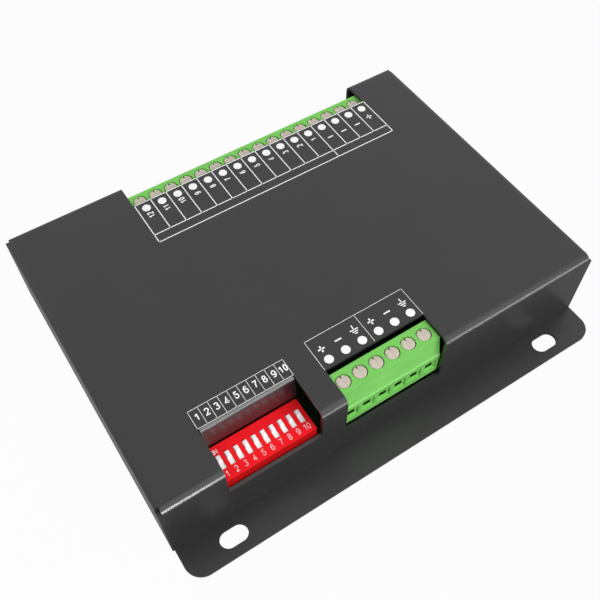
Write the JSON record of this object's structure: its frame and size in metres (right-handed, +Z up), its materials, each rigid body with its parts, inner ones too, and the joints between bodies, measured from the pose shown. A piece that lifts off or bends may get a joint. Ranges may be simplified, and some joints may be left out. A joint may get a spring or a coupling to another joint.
{
  "type": "led dimmer",
  "caption": "Flat black sheet-steel LED dimmer box with flanges, green screw terminal blocks in cut-outs on both long edges and a red address switch.",
  "frame": {"origin": "middle of the underside of the flanges and the base plate", "axes": "+X along the long edges, +Y to the rear with the long terminal block, +Z up through the cover's top"},
  "size_m": [0.135, 0.1154, 0.0265],
  "materials": {
    "black_coat": "fine matt powder coat",
    "zinc_plate": "zinc plated",
    "board_green": "solder mask",
    "terminal_green": "moulded, satin",
    "nickel": "nickel plated, satin",
    "switch_red": "moulded, satin",
    "slider_white": "moulded",
    "package_black": "moulded epoxy",
    "sleeve_blue": "shrink sleeve"
  },
  "bodies": {
    "dimmer_body": {"cover": "black_coat", "base_plate": "zinc_plate", "circuit_board": "board_green", "rear_terminal_housing": "terminal_green", "front_terminal_housing": "terminal_green", "address_switch_housing": "switch_red", "filter_capacitor": "sleeve_blue", "microcontroller": "package_black", "bus_transceiver": "package_black", "voltage_regulator": "package_black", "board_screw_1": "zinc_plate", "board_screw_2": "zinc_plate", "board_screw_3": "zinc_plate", "board_screw_4": "zinc_plate", "cover_screw_left": "zinc_plate", "cover_screw_right": "zinc_plate", "output_transistor_01": "package_black", "output_transistor_02": "package_black", "output_transistor_03": "package_black", "output_transistor_04": "package_black", "output_transistor_05": "package_black", "output_transistor_06": "package_black", "output_transistor_07": "package_black", "output_transistor_08": "package_black", "output_transistor_09": "package_black", "output_transistor_10": "package_black", "output_transistor_11": "package_black", "output_transistor_12": "package_black"},
    "rear_terminal_screw_01": {"rear_terminal_screw_01": "nickel"},
    "rear_terminal_screw_02": {"rear_terminal_screw_02": "nickel"},
    "rear_terminal_screw_03": {"rear_terminal_screw_03": "nickel"},
    "rear_terminal_screw_04": {"rear_terminal_screw_04": "nickel"},
    "rear_terminal_screw_05": {"rear_terminal_screw_05": "nickel"},
    "rear_terminal_screw_06": {"rear_terminal_screw_06": "nickel"},
    "rear_terminal_screw_07": {"rear_terminal_screw_07": "nickel"},
    "rear_terminal_screw_08": {"rear_terminal_screw_08": "nickel"},
    "rear_terminal_screw_09": {"rear_terminal_screw_09": "nickel"},
    "rear_terminal_screw_10": {"rear_terminal_screw_10": "nickel"},
    "rear_terminal_screw_11": {"rear_terminal_screw_11": "nickel"},
    "rear_terminal_screw_12": {"rear_terminal_screw_12": "nickel"},
    "rear_terminal_screw_13": {"rear_terminal_screw_13": "nickel"},
    "rear_terminal_screw_14": {"rear_terminal_screw_14": "nickel"},
    "rear_terminal_screw_15": {"rear_terminal_screw_15": "nickel"},
    "rear_terminal_screw_16": {"rear_terminal_screw_16": "nickel"},
    "front_terminal_screw_1": {"front_terminal_screw_1": "nickel"},
    "front_terminal_screw_2": {"front_terminal_screw_2": "nickel"},
    "front_terminal_screw_3": {"front_terminal_screw_3": "nickel"},
    "front_terminal_screw_4": {"front_terminal_screw_4": "nickel"},
    "front_terminal_screw_5": {"front_terminal_screw_5": "nickel"},
    "front_terminal_screw_6": {"front_terminal_screw_6": "nickel"},
    "address_slider_01": {"address_slider_01": "slider_white"},
    "address_slider_02": {"address_slider_02": "slider_white"},
    "address_slider_03": {"address_slider_03": "slider_white"},
    "address_slider_04": {"address_slider_04": "slider_white"},
    "address_slider_05": {"address_slider_05": "slider_white"},
    "address_slider_06": {"address_slider_06": "slider_white"},
    "address_slider_07": {"address_slider_07": "slider_white"},
    "address_slider_08": {"address_slider_08": "slider_white"},
    "address_slider_09": {"address_slider_09": "slider_white"},
    "address_slider_10": {"address_slider_10": "slider_white"}
  },
  "joints": [
    {"name": "rear_terminal_screw_01_turn", "type": "hinge", "parent": "dimmer_body", "child": "rear_terminal_screw_01", "pos_m": [-0.0285, 0.0402, 0.0229], "axis": [0, 0, -1], "range_deg": [0, 1800]},
    {"name": "rear_terminal_screw_02_turn", "type": "hinge", "parent": "dimmer_body", "child": "rear_terminal_screw_02", "pos_m": [-0.02342, 0.0402, 0.0229], "axis": [0, 0, -1], "range_deg": [0, 1800]},
    {"name": "rear_terminal_screw_03_turn", "type": "hinge", "parent": "dimmer_body", "child": "rear_terminal_screw_03", "pos_m": [-0.01834, 0.0402, 0.0229], "axis": [0, 0, -1], "range_deg": [0, 1800]},
    {"name": "rear_terminal_screw_04_turn", "type": "hinge", "parent": "dimmer_body", "child": "rear_terminal_screw_04", "pos_m": [-0.01326, 0.0402, 0.0229], "axis": [0, 0, -1], "range_deg": [0, 1800]},
    {"name": "rear_terminal_screw_05_turn", "type": "hinge", "parent": "dimmer_body", "child": "rear_terminal_screw_05", "pos_m": [-0.00818, 0.0402, 0.0229], "axis": [0, 0, -1], "range_deg": [0, 1800]},
    {"name": "rear_terminal_screw_06_turn", "type": "hinge", "parent": "dimmer_body", "child": "rear_terminal_screw_06", "pos_m": [-0.0031, 0.0402, 0.0229], "axis": [0, 0, -1], "range_deg": [0, 1800]},
    {"name": "rear_terminal_screw_07_turn", "type": "hinge", "parent": "dimmer_body", "child": "rear_terminal_screw_07", "pos_m": [0.00198, 0.0402, 0.0229], "axis": [0, 0, -1], "range_deg": [0, 1800]},
    {"name": "rear_terminal_screw_08_turn", "type": "hinge", "parent": "dimmer_body", "child": "rear_terminal_screw_08", "pos_m": [0.00706, 0.0402, 0.0229], "axis": [0, 0, -1], "range_deg": [0, 1800]},
    {"name": "rear_terminal_screw_09_turn", "type": "hinge", "parent": "dimmer_body", "child": "rear_terminal_screw_09", "pos_m": [0.01214, 0.0402, 0.0229], "axis": [0, 0, -1], "range_deg": [0, 1800]},
    {"name": "rear_terminal_screw_10_turn", "type": "hinge", "parent": "dimmer_body", "child": "rear_terminal_screw_10", "pos_m": [0.01722, 0.0402, 0.0229], "axis": [0, 0, -1], "range_deg": [0, 1800]},
    {"name": "rear_terminal_screw_11_turn", "type": "hinge", "parent": "dimmer_body", "child": "rear_terminal_screw_11", "pos_m": [0.0223, 0.0402, 0.0229], "axis": [0, 0, -1], "range_deg": [0, 1800]},
    {"name": "rear_terminal_screw_12_turn", "type": "hinge", "parent": "dimmer_body", "child": "rear_terminal_screw_12", "pos_m": [0.02738, 0.0402, 0.0229], "axis": [0, 0, -1], "range_deg": [0, 1800]},
    {"name": "rear_terminal_screw_13_turn", "type": "hinge", "parent": "dimmer_body", "child": "rear_terminal_screw_13", "pos_m": [0.03246, 0.0402, 0.0229], "axis": [0, 0, -1], "range_deg": [0, 1800]},
    {"name": "rear_terminal_screw_14_turn", "type": "hinge", "parent": "dimmer_body", "child": "rear_terminal_screw_14", "pos_m": [0.03754, 0.0402, 0.0229], "axis": [0, 0, -1], "range_deg": [0, 1800]},
    {"name": "rear_terminal_screw_15_turn", "type": "hinge", "parent": "dimmer_body", "child": "rear_terminal_screw_15", "pos_m": [0.04262, 0.0402, 0.0229], "axis": [0, 0, -1], "range_deg": [0, 1800]},
    {"name": "rear_terminal_screw_16_turn", "type": "hinge", "parent": "dimmer_body", "child": "rear_terminal_screw_16", "pos_m": [0.0477, 0.0402, 0.0229], "axis": [0, 0, -1], "range_deg": [0, 1800]},
    {"name": "front_terminal_screw_1_turn", "type": "hinge", "parent": "dimmer_body", "child": "front_terminal_screw_1", "pos_m": [-0.0125, -0.0415, 0.0229], "axis": [0, 0, -1], "range_deg": [0, 1800]},
    {"name": "front_terminal_screw_2_turn", "type": "hinge", "parent": "dimmer_body", "child": "front_terminal_screw_2", "pos_m": [-0.00742, -0.0415, 0.0229], "axis": [0, 0, -1], "range_deg": [0, 1800]},
    {"name": "front_terminal_screw_3_turn", "type": "hinge", "parent": "dimmer_body", "child": "front_terminal_screw_3", "pos_m": [-0.00234, -0.0415, 0.0229], "axis": [0, 0, -1], "range_deg": [0, 1800]},
    {"name": "front_terminal_screw_4_turn", "type": "hinge", "parent": "dimmer_body", "child": "front_terminal_screw_4", "pos_m": [0.00274, -0.0415, 0.0229], "axis": [0, 0, -1], "range_deg": [0, 1800]},
    {"name": "front_terminal_screw_5_turn", "type": "hinge", "parent": "dimmer_body", "child": "front_terminal_screw_5", "pos_m": [0.00782, -0.0415, 0.0229], "axis": [0, 0, -1], "range_deg": [0, 1800]},
    {"name": "front_terminal_screw_6_turn", "type": "hinge", "parent": "dimmer_body", "child": "front_terminal_screw_6", "pos_m": [0.0129, -0.0415, 0.0229], "axis": [0, 0, -1], "range_deg": [0, 1800]},
    {"name": "address_slider_01_travel", "type": "slide", "parent": "dimmer_body", "child": "address_slider_01", "axis": [0, -1, 0], "range_m": [0, 0.00175]},
    {"name": "address_slider_02_travel", "type": "slide", "parent": "dimmer_body", "child": "address_slider_02", "axis": [0, -1, 0], "range_m": [0, 0.00175]},
    {"name": "address_slider_03_travel", "type": "slide", "parent": "dimmer_body", "child": "address_slider_03", "axis": [0, -1, 0], "range_m": [0, 0.00175]},
    {"name": "address_slider_04_travel", "type": "slide", "parent": "dimmer_body", "child": "address_slider_04", "axis": [0, -1, 0], "range_m": [0, 0.00175]},
    {"name": "address_slider_05_travel", "type": "slide", "parent": "dimmer_body", "child": "address_slider_05", "axis": [0, -1, 0], "range_m": [0, 0.00175]},
    {"name": "address_slider_06_travel", "type": "slide", "parent": "dimmer_body", "child": "address_slider_06", "axis": [0, -1, 0], "range_m": [0, 0.00175]},
    {"name": "address_slider_07_travel", "type": "slide", "parent": "dimmer_body", "child": "address_slider_07", "axis": [0, -1, 0], "range_m": [0, 0.00175]},
    {"name": "address_slider_08_travel", "type": "slide", "parent": "dimmer_body", "child": "address_slider_08", "axis": [0, -1, 0], "range_m": [0, 0.00175]},
    {"name": "address_slider_09_travel", "type": "slide", "parent": "dimmer_body", "child": "address_slider_09", "axis": [0, -1, 0], "range_m": [0, 0.00175]},
    {"name": "address_slider_10_travel", "type": "slide", "parent": "dimmer_body", "child": "address_slider_10", "axis": [0, -1, 0], "range_m": [0, 0.00175]}
  ]
}
